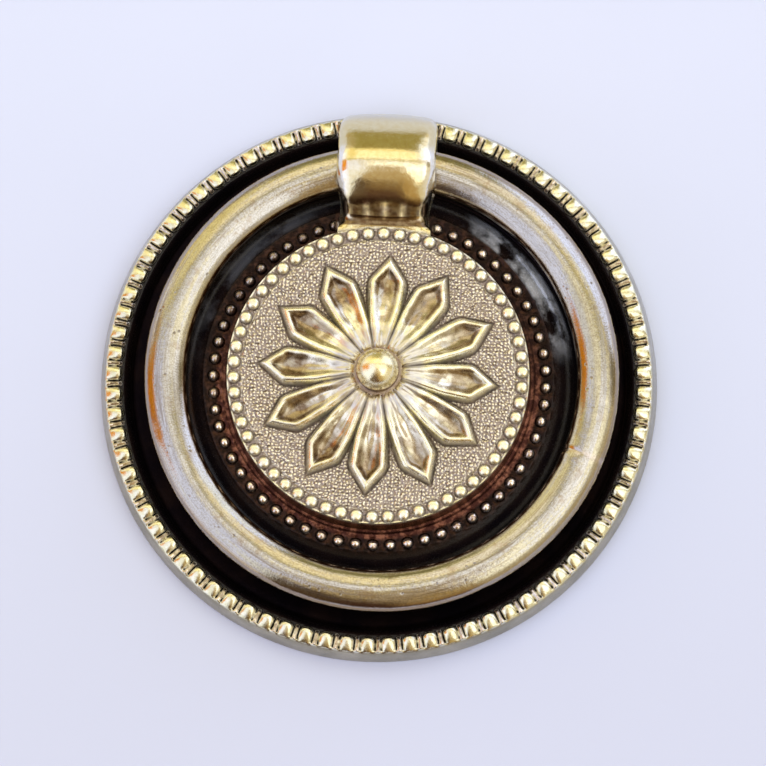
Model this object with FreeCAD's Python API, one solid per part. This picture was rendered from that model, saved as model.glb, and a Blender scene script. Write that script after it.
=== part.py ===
import FreeCAD, Part
import math
import os

# Ring pull handle for a drawer or cabinet front: a stamped round plate, a cast
# rosette with its knuckle, and a ring that hangs in the knuckle's eye.
# Frame: +Z is up the drawer front, +X to the right, and the front looks
# towards -Y.  The back plane of the handle is Y = 0, with the origin at the
# mouth of the tapped hole in the middle.
# "depth" values below are heights above the back plane, so Y = -depth.

V = FreeCAD.Vector

# ---------------------------------------------------------------- dimensions
# stamped plate
PLATE_R = 30.0            # outside radius
SHEET = 1.0               # sheet thickness
FLOOR_R = (21.5, 26.2)    # flat floor of the channel round the middle
LAND_R = 18.9             # raised land in the middle
LAND_H = 4.42             # front of the land
PLATE_HOLE_R = 4.05       # centre hole for the spigot
LUG_HOLE_R = 1.05         # small hole that stops the casting turning
LUG_Z = 25.6

CROWN_H = 2.45            # flat crown of the rim, under the beads
RIM_BEADS = 80            # gold beads round the rim
RIM_BEAD_R = 0.72
RIM_BEAD_AT = (28.40, 2.48)    # radius of the row, depth of bead centres
LAND_BEADS = 60           # small dark beads round the land
LAND_BEAD_R = 0.50
LAND_BEAD_AT = (18.0, 4.35)

# cast rosette
DISC_R = 15.9             # disc with the bead edge
DISC_H = 7.0              # stippled ground of the disc
DISC_BEADS = 58
DISC_BEAD_R = 0.66
DISC_BEAD_AT = (15.15, 6.86)
PETALS = 12
PETAL_TURN = 3.2          # degrees clockwise from straight up
PETAL_TIP = 12.8
PETAL_WIDEST = 10.0
PETAL_HALF = 1.80
PETAL_ROOT_HALF = 0.42
CENTRE_BOSS = (3.0, 9.3)  # radius at the foot, depth at the top
BALL_R = 2.2
BALL_AT = 9.85            # depth of the ball's centre
SPIGOT_R = 4.0
PEEN = (5.1, 0.75)        # radius and thickness of the peened collar
TAP_R = 1.65              # tapping hole for an M4 screw
TAP_DEEP = 6.0

# knuckle
KNUCKLE_W = 10.5
NECK_W = 9.3
EYE_R = 2.60              # eye that the ring runs through
EYE_Z = 22.65
EYE_DEPTH = 5.5

# ring
RING_R = 22.95            # centre line
ROD_R = 2.05


def yz(z, depth, x=0.0):
    return V(x, -depth, z)


def wire_of(items):
    """Wire in the (radius, depth) plane from points and arc triples."""
    edges = []
    for item in items:
        p = [V(r, -h, 0) for r, h in item]
        if len(p) == 2:
            edges.append(Part.LineSegment(p[0], p[1]).toShape())
        else:
            edges.append(Part.Arc(p[0], p[1], p[2]).toShape())
    return Part.Wire(edges)


def turned(items):
    return Part.Face(wire_of(items)).revolve(V(0, 0, 0), V(0, 1, 0), 360)


def along_y(radius, depth0, depth1, x=0.0, z=0.0):
    return Part.makeCylinder(radius, depth1 - depth0, V(x, -depth0, z), V(0, -1, 0))


def bead_places(count, row_r, half_step=False):
    for i in range(count):
        a = 2.0 * math.pi * (i + (0.5 if half_step else 0.0)) / count
        yield row_r * math.sin(a), row_r * math.cos(a)


def under_knuckle(x, z, room):
    return z > 0 and abs(x) < KNUCKLE_W / 2.0 + room


def one_solid(shape, name):
    shape = shape.removeSplitter()
    solids = shape.Solids
    if len(solids) != 1:
        raise RuntimeError("%s has %d solids" % (name, len(solids)))
    solid = solids[0]
    if not solid.isValid() or solid.Volume <= 0:
        raise RuntimeError("%s is not a valid solid" % name)
    return solid


# --------------------------------------------------------------------- plate
# Front outline from the rim's foot to the centre, with the matching back
# outline one sheet thickness behind it.
front = [
    [(PLATE_R, 0.0), (29.88, 0.60)],
    [(29.88, 0.60), (29.50, 1.95)],
    [(29.50, 1.95), (29.40, 2.32), (29.16, CROWN_H)],
    [(29.16, CROWN_H), (27.64, CROWN_H)],
    [(27.64, CROWN_H), (27.20, 1.50), (FLOOR_R[1], 1.0)],
    [(FLOOR_R[1], 1.0), (FLOOR_R[0], 1.0)],
    [(FLOOR_R[0], 1.0), (20.86, 3.06), (LAND_R, LAND_H)],
    [(LAND_R, LAND_H), (PLATE_HOLE_R, LAND_H)],
]
back = [
    [(PLATE_HOLE_R, LAND_H), (PLATE_HOLE_R, LAND_H - SHEET)],
    [(PLATE_HOLE_R, LAND_H - SHEET), (18.62, LAND_H - SHEET)],
    [(18.62, LAND_H - SHEET), (20.05, 2.38), (20.55, 0.0)],
    [(20.55, 0.0), (26.35, 0.0)],
    [(26.35, 0.0), (27.55, 0.55), (28.15, 1.32)],
    [(28.15, 1.32), (28.62, 1.44)],
    [(28.62, 1.44), (28.98, 0.40)],
    [(28.98, 0.40), (29.05, 0.0)],
    [(29.05, 0.0), (PLATE_R, 0.0)],
]
sheet = turned(front + back)

rim_beads = []
for x, z in bead_places(RIM_BEADS, RIM_BEAD_AT[0]):
    if not under_knuckle(x, z, 0.8):
        rim_beads.append(Part.makeSphere(RIM_BEAD_R, yz(z, RIM_BEAD_AT[1], x)))
land_beads = []
for x, z in bead_places(LAND_BEADS, LAND_BEAD_AT[0]):
    if not under_knuckle(x, z, 0.55):
        land_beads.append(Part.makeSphere(LAND_BEAD_R, yz(z, LAND_BEAD_AT[1], x)))

backplate = sheet.multiFuse(rim_beads + land_beads)
backplate = backplate.cut(along_y(LUG_HOLE_R, -1.0, 3.0, 0.0, LUG_Z))
backplate = one_solid(backplate, "backplate")

# ------------------------------------------------------------------- casting
# Everything under the plate's front surface: the casting seats on it.
seat = turned([
    [(0.0, -2.0), (32.0, -2.0)],
    [(32.0, -2.0), (32.0, 0.0)],
    [(32.0, 0.0), (PLATE_R, 0.0)],
] + front[:-1] + [
    [(LAND_R, LAND_H), (0.0, LAND_H)],
    [(0.0, LAND_H), (0.0, -2.0)],
])

disc = turned([
    [(0.0, LAND_H), (16.25, LAND_H)],
    [(16.25, LAND_H), (15.98, 5.4), (DISC_R, DISC_H)],
    [(DISC_R, DISC_H), (0.0, DISC_H)],
    [(0.0, DISC_H), (0.0, LAND_H)],
])

# knuckle in side view: (height, depth)
CREST = [(18.20, 8.30), (18.42, 9.05), (19.20, 9.90), (20.90, 10.58), (23.10, 10.85),
         (25.20, 10.35), (27.00, 8.85), (28.45, 6.55), (29.40, 4.10), (29.60, 2.60)]
NECK_CURVE = [(16.40, 6.95), (17.55, 7.45), (18.20, 8.30)]


def side_slab(width, segments):
    edges = []
    for item in segments:
        p = [yz(z, h, -width / 2.0) for z, h in item]
        if len(p) == 2:
            edges.append(Part.LineSegment(p[0], p[1]).toShape())
        elif len(p) == 3:
            edges.append(Part.Arc(p[0], p[1], p[2]).toShape())
        else:
            curve = Part.BSplineCurve()
            curve.interpolate(p)
            edges.append(curve.toShape())
    return Part.Face(Part.Wire(edges)).extrude(V(width, 0, 0))


def round_front(solid, radius):
    """Round the two long front edges of the knuckle at its sides."""
    edges = []
    for e in solid.Edges:
        box = e.BoundBox
        if box.XLength < 1e-3 and box.ZLength > 10.5 and box.YLength > 4.0:
            edges.append(e)
    if len(edges) != 2:
        raise RuntimeError("knuckle edges: %d" % len(edges))
    return solid.makeFillet(radius, edges)


body = side_slab(KNUCKLE_W, [
    CREST,
    [(29.60, 2.60), (29.30, 1.0)],
    [(29.30, 1.0), (18.20, 1.0)],
    [(18.20, 1.0), (18.20, 8.30)],
])
body = round_front(body, 1.0)
neck = side_slab(NECK_W, [
    [(14.9, 1.0), (14.9, 6.95)],
    [(14.9, 6.95), (16.40, 6.95)],
    NECK_CURVE,
    [(18.20, 8.30), (19.0, 8.30)],
    [(19.0, 8.30), (19.0, 1.0)],
    [(19.0, 1.0), (14.9, 1.0)],
])

petals = []
SLOPE = 0.125
for i in range(PETALS):
    lower = [(1.2, PETAL_ROOT_HALF), (PETAL_WIDEST, PETAL_HALF), (PETAL_TIP, 0.0),
             (PETAL_WIDEST, -PETAL_HALF), (1.2, -PETAL_ROOT_HALF)]
    upper = [(1.2, PETAL_ROOT_HALF * 0.55), (PETAL_WIDEST - 0.1, PETAL_HALF * 0.62),
             (PETAL_TIP - 0.9, 0.0), (PETAL_WIDEST - 0.1, -PETAL_HALF * 0.62),
             (1.2, -PETAL_ROOT_HALF * 0.55)]
    low_wire = Part.makePolygon([V(s, -(DISC_H - 0.4), r) for r, s in lower + lower[:1]])
    top_wire = Part.makePolygon([V(s, -(9.25 - SLOPE * (r - 1.2)), r) for r, s in upper + upper[:1]])
    petal = Part.makeLoft([low_wire, top_wire], True, True)
    petal.rotate(V(0, 0, 0), V(0, 1, 0), PETAL_TURN + 360.0 * i / PETALS)
    petals.append(petal)

boss = turned([
    [(0.0, DISC_H - 0.5), (CENTRE_BOSS[0], DISC_H - 0.5)],
    [(CENTRE_BOSS[0], DISC_H - 0.5), (2.75, 8.7), (1.9, CENTRE_BOSS[1])],
    [(1.9, CENTRE_BOSS[1]), (0.0, CENTRE_BOSS[1])],
    [(0.0, CENTRE_BOSS[1]), (0.0, DISC_H - 0.5)],
])
ball = Part.makeSphere(BALL_R, yz(0.0, BALL_AT))

edge_beads = []
for x, z in bead_places(DISC_BEADS, DISC_BEAD_AT[0]):
    edge_beads.append(Part.makeSphere(DISC_BEAD_R, yz(z, DISC_BEAD_AT[1], x)))

front_part = disc.multiFuse([body, neck])
front_part = front_part.cut(seat)
eye = Part.makeCylinder(EYE_R, 20.0, V(-10.0, -EYE_DEPTH, EYE_Z), V(1, 0, 0))
front_part = front_part.cut(eye)
front_part = front_part.multiFuse(petals + [boss, ball] + edge_beads)

spigot = along_y(SPIGOT_R, 0.0, DISC_H - 1.0)
collar = along_y(PEEN[0], LAND_H - SHEET - PEEN[1], LAND_H - SHEET)
lug = along_y(1.0, 0.1, 2.4, 0.0, LUG_Z)
casting = front_part.multiFuse([spigot, collar, lug])
tap = along_y(TAP_R, -1.0, TAP_DEEP)
tip = Part.makeCone(TAP_R, 0.0, 0.95, V(0, -TAP_DEEP, 0), V(0, -1, 0))
casting = casting.cut(tap.fuse(tip))
casting = one_solid(casting, "rosette_casting")

# ---------------------------------------------------------------------- ring
ring = Part.makeTorus(RING_R, ROD_R, yz(0.0, EYE_DEPTH), V(0, 1, 0))
ring = one_solid(ring, "pull_ring")

os.makedirs("parts", exist_ok=True)
for name, shape in (
    ("backplate", backplate),
    ("rosette_casting", casting),
    ("pull_ring", ring),
):
    shape.exportStep("parts/%s.step" % name)
    box = shape.BoundBox
    print("%s: %.1f mm3, %d faces, X %.2f..%.2f Y %.2f..%.2f Z %.2f..%.2f" % (
        name, shape.Volume, len(shape.Faces), box.XMin, box.XMax,
        box.YMin, box.YMax, box.ZMin, box.ZMax))
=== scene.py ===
import math

import bmesh
import bpy
import numpy as np
from mathutils import Matrix, Vector


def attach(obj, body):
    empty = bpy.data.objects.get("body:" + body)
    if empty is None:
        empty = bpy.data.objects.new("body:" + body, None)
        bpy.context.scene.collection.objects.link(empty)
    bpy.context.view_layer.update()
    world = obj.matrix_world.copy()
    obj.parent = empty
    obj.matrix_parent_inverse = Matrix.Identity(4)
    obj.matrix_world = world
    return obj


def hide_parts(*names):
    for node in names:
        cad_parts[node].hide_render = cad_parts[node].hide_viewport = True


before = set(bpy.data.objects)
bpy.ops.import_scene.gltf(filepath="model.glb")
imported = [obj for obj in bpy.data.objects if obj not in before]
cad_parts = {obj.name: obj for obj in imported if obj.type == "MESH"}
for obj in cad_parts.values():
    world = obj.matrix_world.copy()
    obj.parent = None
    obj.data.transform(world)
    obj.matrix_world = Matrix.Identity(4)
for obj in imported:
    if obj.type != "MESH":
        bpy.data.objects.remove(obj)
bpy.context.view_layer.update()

TAU = 2.0 * math.pi
MM = 0.001

# Shapes below are in millimetres: radius from the plate's axis, "depth" is the
# height above the back plane (Y = -depth), and angles run clockwise from up.


def step(x, a, b):
    t = np.clip((np.asarray(x, float) - a) / (b - a), 0.0, 1.0)
    return t * t * (3.0 - 2.0 * t)


def table(points, lo, hi, blur=0.0, count=1200):
    """Dense, slightly smoothed table through a few (x, value) pairs."""
    xs = np.linspace(lo, hi, count)
    ys = np.interp(xs, [p[0] for p in points], [p[1] for p in points])
    if blur > 0:
        half = max(1, int(3 * blur / (hi - lo) * count))
        k = np.exp(-0.5 * (np.arange(-half, half + 1) * (hi - lo) / count / blur) ** 2)
        k /= k.sum()
        pad = np.concatenate([np.full(half, ys[0]), ys, np.full(half, ys[-1])])
        ys = np.convolve(pad, k, "valid")
    return xs, ys, np.gradient(ys, xs)


def read(tab, x):
    return np.interp(x, tab[0], tab[1])


def slope(tab, x):
    return np.interp(x, tab[0], tab[2])


def hashed(i, j, seed):
    """Repeatable pseudo-random numbers in 0..1 for integer cells."""
    v = np.sin(i * 127.1 + j * 311.7 + seed * 74.7) * 43758.5453
    return v - np.floor(v)


def dots(x, y, pitch, radius, seed, jitter=0.8):
    """Height 0..1 of round grains scattered on a jittered grid."""
    cx, cy = np.floor(x / pitch), np.floor(y / pitch)
    best = np.zeros_like(x)
    for di in (-1, 0, 1):
        for dj in (-1, 0, 1):
            i, j = cx + di, cy + dj
            px = (i + 0.5 + jitter * (hashed(i, j, seed) - 0.5)) * pitch
            py = (j + 0.5 + jitter * (hashed(i, j, seed + 1.0) - 0.5)) * pitch
            size = radius * (0.75 + 0.5 * hashed(i, j, seed + 2.0))
            d2 = ((x - px) ** 2 + (y - py) ** 2) / size ** 2
            lift = np.sqrt(np.clip(1.0 - d2, 0.0, 1.0)) * (0.7 + 0.6 * hashed(i, j, seed + 3.0))
            best = np.maximum(best, lift)
    return best


class Turned:
    """Closed mesh made of loops round the plate's axis, each with its own count."""

    def __init__(self):
        self.co = []
        self.faces = []
        self.last = None
        self.total = 0

    def loop(self, r, depth, count, shape=None):
        a = np.arange(count) * TAU / count
        rr = np.full(count, float(r))
        dd = np.full(count, float(depth))
        if shape is not None:
            rr, dd = shape(rr, dd, a)
        co = np.stack([rr * np.sin(a), -dd, rr * np.cos(a)], 1)
        this = (self.total, count)
        self.co.append(co)
        self.total += count
        if self.last is not None:
            self.bridge(self.last, this)
        self.last = this
        return this

    def point(self, depth):
        this = (self.total, 1)
        self.co.append(np.array([[0.0, -depth, 0.0]]))
        self.total += 1
        if self.last is not None:
            self.bridge(self.last, this)
        self.last = this

    def bridge(self, one, two):
        s1, n1 = one
        s2, n2 = two
        if n1 == n2:
            for i in range(n1):
                j = (i + 1) % n1
                self.faces.append((s1 + i, s1 + j, s2 + j, s2 + i))
            return
        if n1 == 1 or n2 == 1:
            s, n, p, flip = (s2, n2, s1, False) if n1 == 1 else (s1, n1, s2, True)
            for i in range(n):
                j = (i + 1) % n
                self.faces.append((s + i, s + j, p) if flip else (s + j, s + i, p))
            return
        i = j = 0
        while i < n1 or j < n2:
            if j >= n2 or (i < n1 and (i + 1) * n2 <= (j + 1) * n1):
                self.faces.append((s1 + i % n1, s1 + (i + 1) % n1, s2 + j % n2))
                i += 1
            else:
                self.faces.append((s1 + i % n1, s2 + (j + 1) % n2, s2 + j % n2))
                j += 1

    def coords(self):
        return np.concatenate(self.co)


def make_object(name, coords_mm, faces, angle=50.0):
    mesh = bpy.data.meshes.new(name)
    mesh.from_pydata((coords_mm * MM).tolist(), [], faces)
    obj = bpy.data.objects.new(name, mesh)
    bpy.context.scene.collection.objects.link(obj)
    tidy(obj, angle)
    return obj


def tidy(obj, angle=50.0):
    bm = bmesh.new()
    bm.from_mesh(obj.data)
    bmesh.ops.recalc_face_normals(bm, faces=bm.faces)
    if sum(f.calc_area() * f.normal.dot(f.calc_center_median()) for f in bm.faces) < 0:
        bmesh.ops.reverse_faces(bm, faces=bm.faces)
    limit = math.radians(angle)
    for f in bm.faces:
        f.smooth = True
    for e in bm.edges:
        e.smooth = len(e.link_faces) == 2 and e.calc_face_angle(0.0) < limit
    bm.to_mesh(obj.data)
    bm.free()
    obj.data.update()


def vertex_arrays(obj):
    me = obj.data
    co = np.empty(len(me.vertices) * 3)
    me.vertices.foreach_get("co", co)
    no = np.empty(len(me.vertices) * 3)
    me.vertices.foreach_get("normal", no)
    ed = np.empty(len(me.edges) * 2, np.int64)
    me.edges.foreach_get("vertices", ed)
    return co.reshape(-1, 3) / MM, no.reshape(-1, 3), ed.reshape(-1, 2)


def relief(obj, rounds):
    """How far each vertex stands out of the smoothed surface, in mm (+ is proud)."""
    co, no, ed = vertex_arrays(obj)
    n = len(co)
    deg = np.bincount(ed.ravel(), minlength=n).astype(float)
    deg[deg == 0] = 1
    p = co.copy()
    out = {}
    for k in range(1, max(rounds) + 1):
        s = np.zeros_like(p)
        for c in range(3):
            s[:, c] = (np.bincount(ed[:, 0], p[ed[:, 1], c], n)
                       + np.bincount(ed[:, 1], p[ed[:, 0], c], n))
        p = 0.4 * p + 0.6 * s / deg[:, None]
        if k in rounds:
            out[k] = ((co - p) * no).sum(1)
    return out


def put(obj, name, values, kind="FLOAT"):
    at = obj.data.attributes.new(name, kind, "POINT")
    key = "value" if kind == "FLOAT" else "vector"
    at.data.foreach_set(key, np.asarray(values, np.float32).ravel())


# ------------------------------------------------------------------ backplate
LOBES = 80
LOBE_R = 28.42
LAND_BEADS = 60
KNUCKLE_HALF = 5.25


def near_knuckle(r, a, room):
    """1 where the knuckle's foot covers the plate's upper edge."""
    x, z = r * np.sin(a), r * np.cos(a)
    return (1.0 - step(np.abs(x), KNUCKLE_HALF + room - 0.15, KNUCKLE_HALF + room + 0.15)) * step(z, 10, 12)


def rim_relief(r, a):
    """Lobes and the narrow darts between them, added to the rim's crown."""
    pitch = TAU / LOBES
    idx = np.round(a / pitch)
    wob = hashed(idx % LOBES, 3.0, 1.0) - 0.5
    wob2 = hashed(idx % LOBES, 5.0, 2.0) - 0.5
    s = (a - idx * pitch) * r + 0.06 * wob          # mm along the rim from the lobe's middle
    # lobe: a flat pad, square at the outer lip, rounded at its inner end, highest near that end
    inner = 27.56 + 0.07 * wob2
    end = np.clip((inner + 0.86 - r) / 0.86, 0.0, 1.0)
    half = (0.80 + 0.03 * wob2) * np.sqrt(np.clip(1.0 - end ** 2, 1e-4, 1.0)) * (1.0 - 0.06 * step(r, 28.8, 29.4))
    u = np.clip(np.abs(s) / half, 0.0, 1.0)
    across = (1.0 - u ** 2.25) ** 0.52
    fall = 1.0 - (0.66 + 0.1 * wob) * np.clip((r - 28.20) / 1.05, 0.0, 1.0) ** 1.7
    lobe = across * fall * step(r, inner - 0.02, inner + 0.34) * (1.0 - step(r, 29.28, 29.46))
    # dart: midway between two lobes, a fan at the lip, a small knob at the inner end
    s2 = (np.abs(a - idx * pitch) - 0.5 * pitch) * r
    width = 0.215 + 0.02 * step(28.2 - r, 0.0, 0.6) + 0.13 * step(r, 28.85, 29.25)
    dart = np.clip(1.0 - (s2 / width) ** 2, 0.0, 1.0) ** 0.55
    dart = dart * step(r, 27.50, 28.10) * (1.0 - step(r, 29.32, 29.46))
    return 0.52 * lobe * (1.0 + 0.08 * wob), 0.32 * dart


def rim_shape(rr, dd, a):
    lobe, dart = rim_relief(rr, a)
    keep = 1.0 - near_knuckle(rr, a, -0.30)
    lift = np.maximum(lobe, dart) * keep
    groove = -0.12 * keep * step(rr, 27.4, 27.8) * (1.0 - step(rr, 29.18, 29.36))
    return rr, dd + lift + groove * (1.0 - np.clip(lift / 0.2, 0, 1))


def land_place(x, z):
    """Nearest bead of the land: its number, and the distances along and across the row."""
    x2, z2 = x - 0.15, z + 0.25                     # the row was struck a little off centre
    r2, a2 = np.hypot(x2, z2), np.arctan2(x2, z2) % TAU
    pitch = TAU / LAND_BEADS
    idx = np.round(a2 / pitch)
    return idx % LAND_BEADS, (a2 - idx * pitch) * r2, r2 - 17.85


def land_shape(rr, dd, a):
    idx, s, t = land_place(rr * np.sin(a), rr * np.cos(a))
    wob = hashed(idx, 9.0, 4.0) - 0.5
    size = 0.59 * (1.0 + 0.08 * wob)
    d2 = (s ** 2 + (t - 0.06 * wob) ** 2) / size ** 2
    dome = np.sqrt(np.clip(1.0 - d2, 0.0, 1.0)) * size * 0.95
    keep = 1.0 - near_knuckle(rr, a, 0.1)
    ring = -0.07 * np.exp(-((np.sqrt(d2) - 1.25) / 0.22) ** 2)
    return rr, dd + (dome * 0.98 + ring) * keep


def build_plate():
    t = Turned()
    # back, from the hole outwards
    back = [(4.05, 3.42), (8.0, 3.42), (14.0, 3.42), (17.9, 3.42), (18.62, 3.38), (19.2, 3.14), (19.7, 2.76),
            (20.05, 2.30), (20.3, 1.70), (20.46, 1.0), (20.55, 0.35), (20.66, 0.12), (20.85, 0.02), (22.5, 0.0),
            (24.5, 0.0), (26.1, 0.0), (26.5, 0.07), (27.0, 0.30), (27.5, 0.70), (27.85, 1.08), (28.1, 1.34),
            (28.3, 1.42), (28.5, 1.40), (28.68, 1.22), (28.82, 0.90), (28.93, 0.45), (29.02, 0.10), (29.10, 0.0)]
    for r, d in back:
        t.loop(r, d, 240 if r < 26 else 320)
    # outer wall
    for r, d in [(29.90, 0.0), (29.99, 0.05), (30.0, 0.16), (29.98, 0.42), (29.92, 0.75), (29.84, 1.10),
                 (29.78, 1.42), (29.71, 1.74), (29.64, 2.02), (29.56, 2.22)]:
        t.loop(r, d, 320)
    # crown with lobes and darts
    crown = table([(26.8, 1.15), (26.95, 1.50), (27.1, 1.90), (27.3, 2.22), (27.5, 2.36), (27.75, 2.42), (28.9, 2.44),
                   (29.26, 2.44), (29.47, 2.34)], 26.75, 29.6, 0.04)
    for r in np.linspace(29.48, 26.92, 33):
        t.loop(r, float(read(crown, r)), LOBES * 14, rim_shape)
    # channel
    for r, d in [(26.78, 1.20), (26.6, 1.09), (26.4, 1.03), (26.1, 1.0), (25.0, 1.0), (23.5, 1.0), (22.2, 1.0),
                 (21.80, 1.01), (21.62, 1.08), (21.52, 1.22), (21.44, 1.50)]:
        t.loop(r, d, 360)
    # swelling inner slope
    c = (17.90, 0.62)
    for k in range(1, 11):
        w = math.radians(14.0 + 68.0 * k / 12.0)
        t.loop(c[0] + 3.63 * math.cos(w), c[1] + 3.80 * math.sin(w), 360)
    # land with the dark beads
    t.loop(18.92, 4.33, 360)
    for r in np.linspace(18.80, 16.88, 24):
        t.loop(r, 4.42, LAND_BEADS * 13, land_shape)
    for r, d in [(16.75, 4.38), (16.60, 4.38), (16.40, 4.41), (16.1, 4.42),
                 (12.0, 4.42), (8.0, 4.42), (4.05, 4.42)]:
        t.loop(r, d, 360 if r > 16 else 240)
    # join the hole's front edge to its back edge
    first = (0, 240)
    t.bridge(t.last, first)
    obj = make_object("plate_stamping", t.coords(), t.faces, 60.0)
    return obj


# --------------------------------------------------------------- rosette disc
PETALS = 12
PETAL_TURN = math.radians(3.2)
EDGE_BEADS = 58
pet_w = table([(0.0, 0.05), (2.6, 0.69), (4.0, 1.05), (5.5, 1.43), (6.6, 1.66), (7.6, 1.80), (9.0, 1.93),
               (10.0, 1.98), (10.45, 1.84), (11.6, 1.00), (12.95, 0.0), (13.3, -0.26), (16.5, -2.9)],
              0.0, 16.5, 0.11, 1600)
pet_top = table([(0, 9.2), (2.8, 9.14), (4.0, 8.98), (6.0, 8.62), (8.0, 8.30), (10.0, 8.06), (12.8, 7.72),
                 (16.5, 7.5)], 0.0, 16.5, 0.3, 1200)
pet_low = table([(0, 8.85), (2.8, 8.80), (4.0, 8.40), (5.5, 7.72), (6.8, 7.22), (7.8, 7.02), (9.0, 7.0),
                 (16.5, 7.0)], 0.0, 16.5, 0.3, 1200)
pet_cup = table([(0, 0.0), (3.2, 0.04), (4.0, 0.18), (5.2, 0.34), (6.6, 0.46), (8.2, 0.62), (9.4, 0.78),
                 (10.4, 0.80), (11.3, 0.60), (12.1, 0.25), (12.8, 0.0), (16.5, 0.0)], 0.0, 16.5, 0.25, 1200)


def petal_field(r, a):
    """Distance inside a petal's outline (mm), place along it, and side offset."""
    pitch = TAU / PETALS
    ph = a - PETAL_TURN
    idx = np.round(ph / pitch)
    lean = (hashed(idx % PETALS, 2.0, 8.0) - 0.5) * 0.030
    longer = 1.0 + (hashed(idx % PETALS, 4.0, 9.0) - 0.5) * 0.045
    far = step(r, 5.0, 8.0)
    ph = ph - idx * pitch - lean * far
    rho = r * np.cos(ph) / (1.0 + (longer - 1.0) * far)
    s = r * np.sin(ph)
    w, dw = read(pet_w, rho), slope(pet_w, rho)
    d = (w - np.abs(s)) / np.sqrt(1.0 + dw * dw)
    return d, rho, s, idx


def rosette_shape(rr, dd, a):
    d, rho, s, idx = petal_field(rr, a)
    low = read(pet_low, rr)
    top = read(pet_top, rho)
    cup = read(pet_cup, rho) * (0.85 + 0.3 * hashed(idx % PETALS, 6.0, 3.0))
    wall = 1.0 - (1.0 - np.clip((d + 0.14) / 0.58, 0.0, 1.0)) ** 2.2
    h = low + (top - low) * wall
    # spoon-shaped hollow between raised edges
    wide = np.maximum(read(pet_w, rho) - 0.52, 0.05)
    spoon = np.clip(1.0 - (s / wide) ** 2, 0.0, 1.0) ** 1.1
    h = h - cup * spoon * step(d, 0.36, 1.15)
    # low rib along the middle near the root
    h = h + 0.10 * np.exp(-(s / 0.28) ** 2) * step(rho, 4.4, 5.4) * (1.0 - step(rho, 7.0, 8.6))
    h = h - 0.12 * np.exp(-((d + 0.16) / 0.12) ** 2) * step(rr, 4.6, 6.6)
    # small unevenness left by casting and rubbing
    x, z = rr * np.sin(a), rr * np.cos(a)
    h = h + 0.040 * np.sin(x * 2.3 + z * 1.1 + idx) * np.sin(z * 2.9 - x * 0.7 + 2.0 * idx) * step(d, -0.1, 0.3)
    # short flutes round the ball
    flute = np.cos((a - PETAL_TURN) * 36.0) * 0.045 + np.cos((a - PETAL_TURN) * 60.0 + 1.0) * 0.02
    h = h + flute * step(rr, 2.7, 3.1) * (1.0 - step(rr, 4.2, 5.2))
    # soft recess round the ball
    h = h - 0.22 * np.exp(-((rr - 2.55) / 0.45) ** 2)
    # stippled ground
    ground = (1.0 - step(d, -0.34, -0.16)) * step(rr, 5.4, 6.2) * (1.0 - step(rr, 14.50, 14.68))
    grain = np.maximum(dots(x, z, 0.37, 0.165, 11.0, 0.62), 0.6 * dots(x + 0.13, z + 0.21, 0.31, 0.12, 17.0, 0.7))
    h = h + ground * (0.15 * grain - 0.03)
    h = h + ground * 0.03 * np.sin(x * 1.7 + 1.0) * np.sin(z * 1.3)
    return rr, h


def edge_shape(rr, dd, a):
    pitch = TAU / EDGE_BEADS
    idx = np.round(a / pitch)
    wob = hashed(idx % EDGE_BEADS, 1.0, 5.0) - 0.5
    wob2 = hashed(idx % EDGE_BEADS, 7.0, 6.0) - 0.5
    size = 0.655 * (1.0 + 0.08 * wob)
    s = (a - idx * pitch) * rr - 0.07 * wob2
    q = (s ** 2 + (rr - 15.48 - 0.04 * wob) ** 2) / size ** 2
    tilt = 0.08 * (s * wob + (rr - 15.48) * wob2)
    dome = np.clip(1.0 - q ** 1.9, 0.0, 1.0) ** 0.50 * (0.44 + tilt)
    lip = 0.02 * np.exp(-((rr - 16.14) / 0.07) ** 2)
    x, z = rr * np.sin(a), rr * np.cos(a)
    grain = np.maximum(dots(x, z, 0.37, 0.165, 11.0, 0.62), 0.6 * dots(x + 0.13, z + 0.21, 0.31, 0.12, 17.0, 0.7))
    low = (1.0 - np.clip(dome / 0.15, 0, 1)) * (1 - step(rr, 16.04, 16.12))
    return rr, dd + dome - 0.12 * low + 0.12 * grain * low + lip


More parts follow.
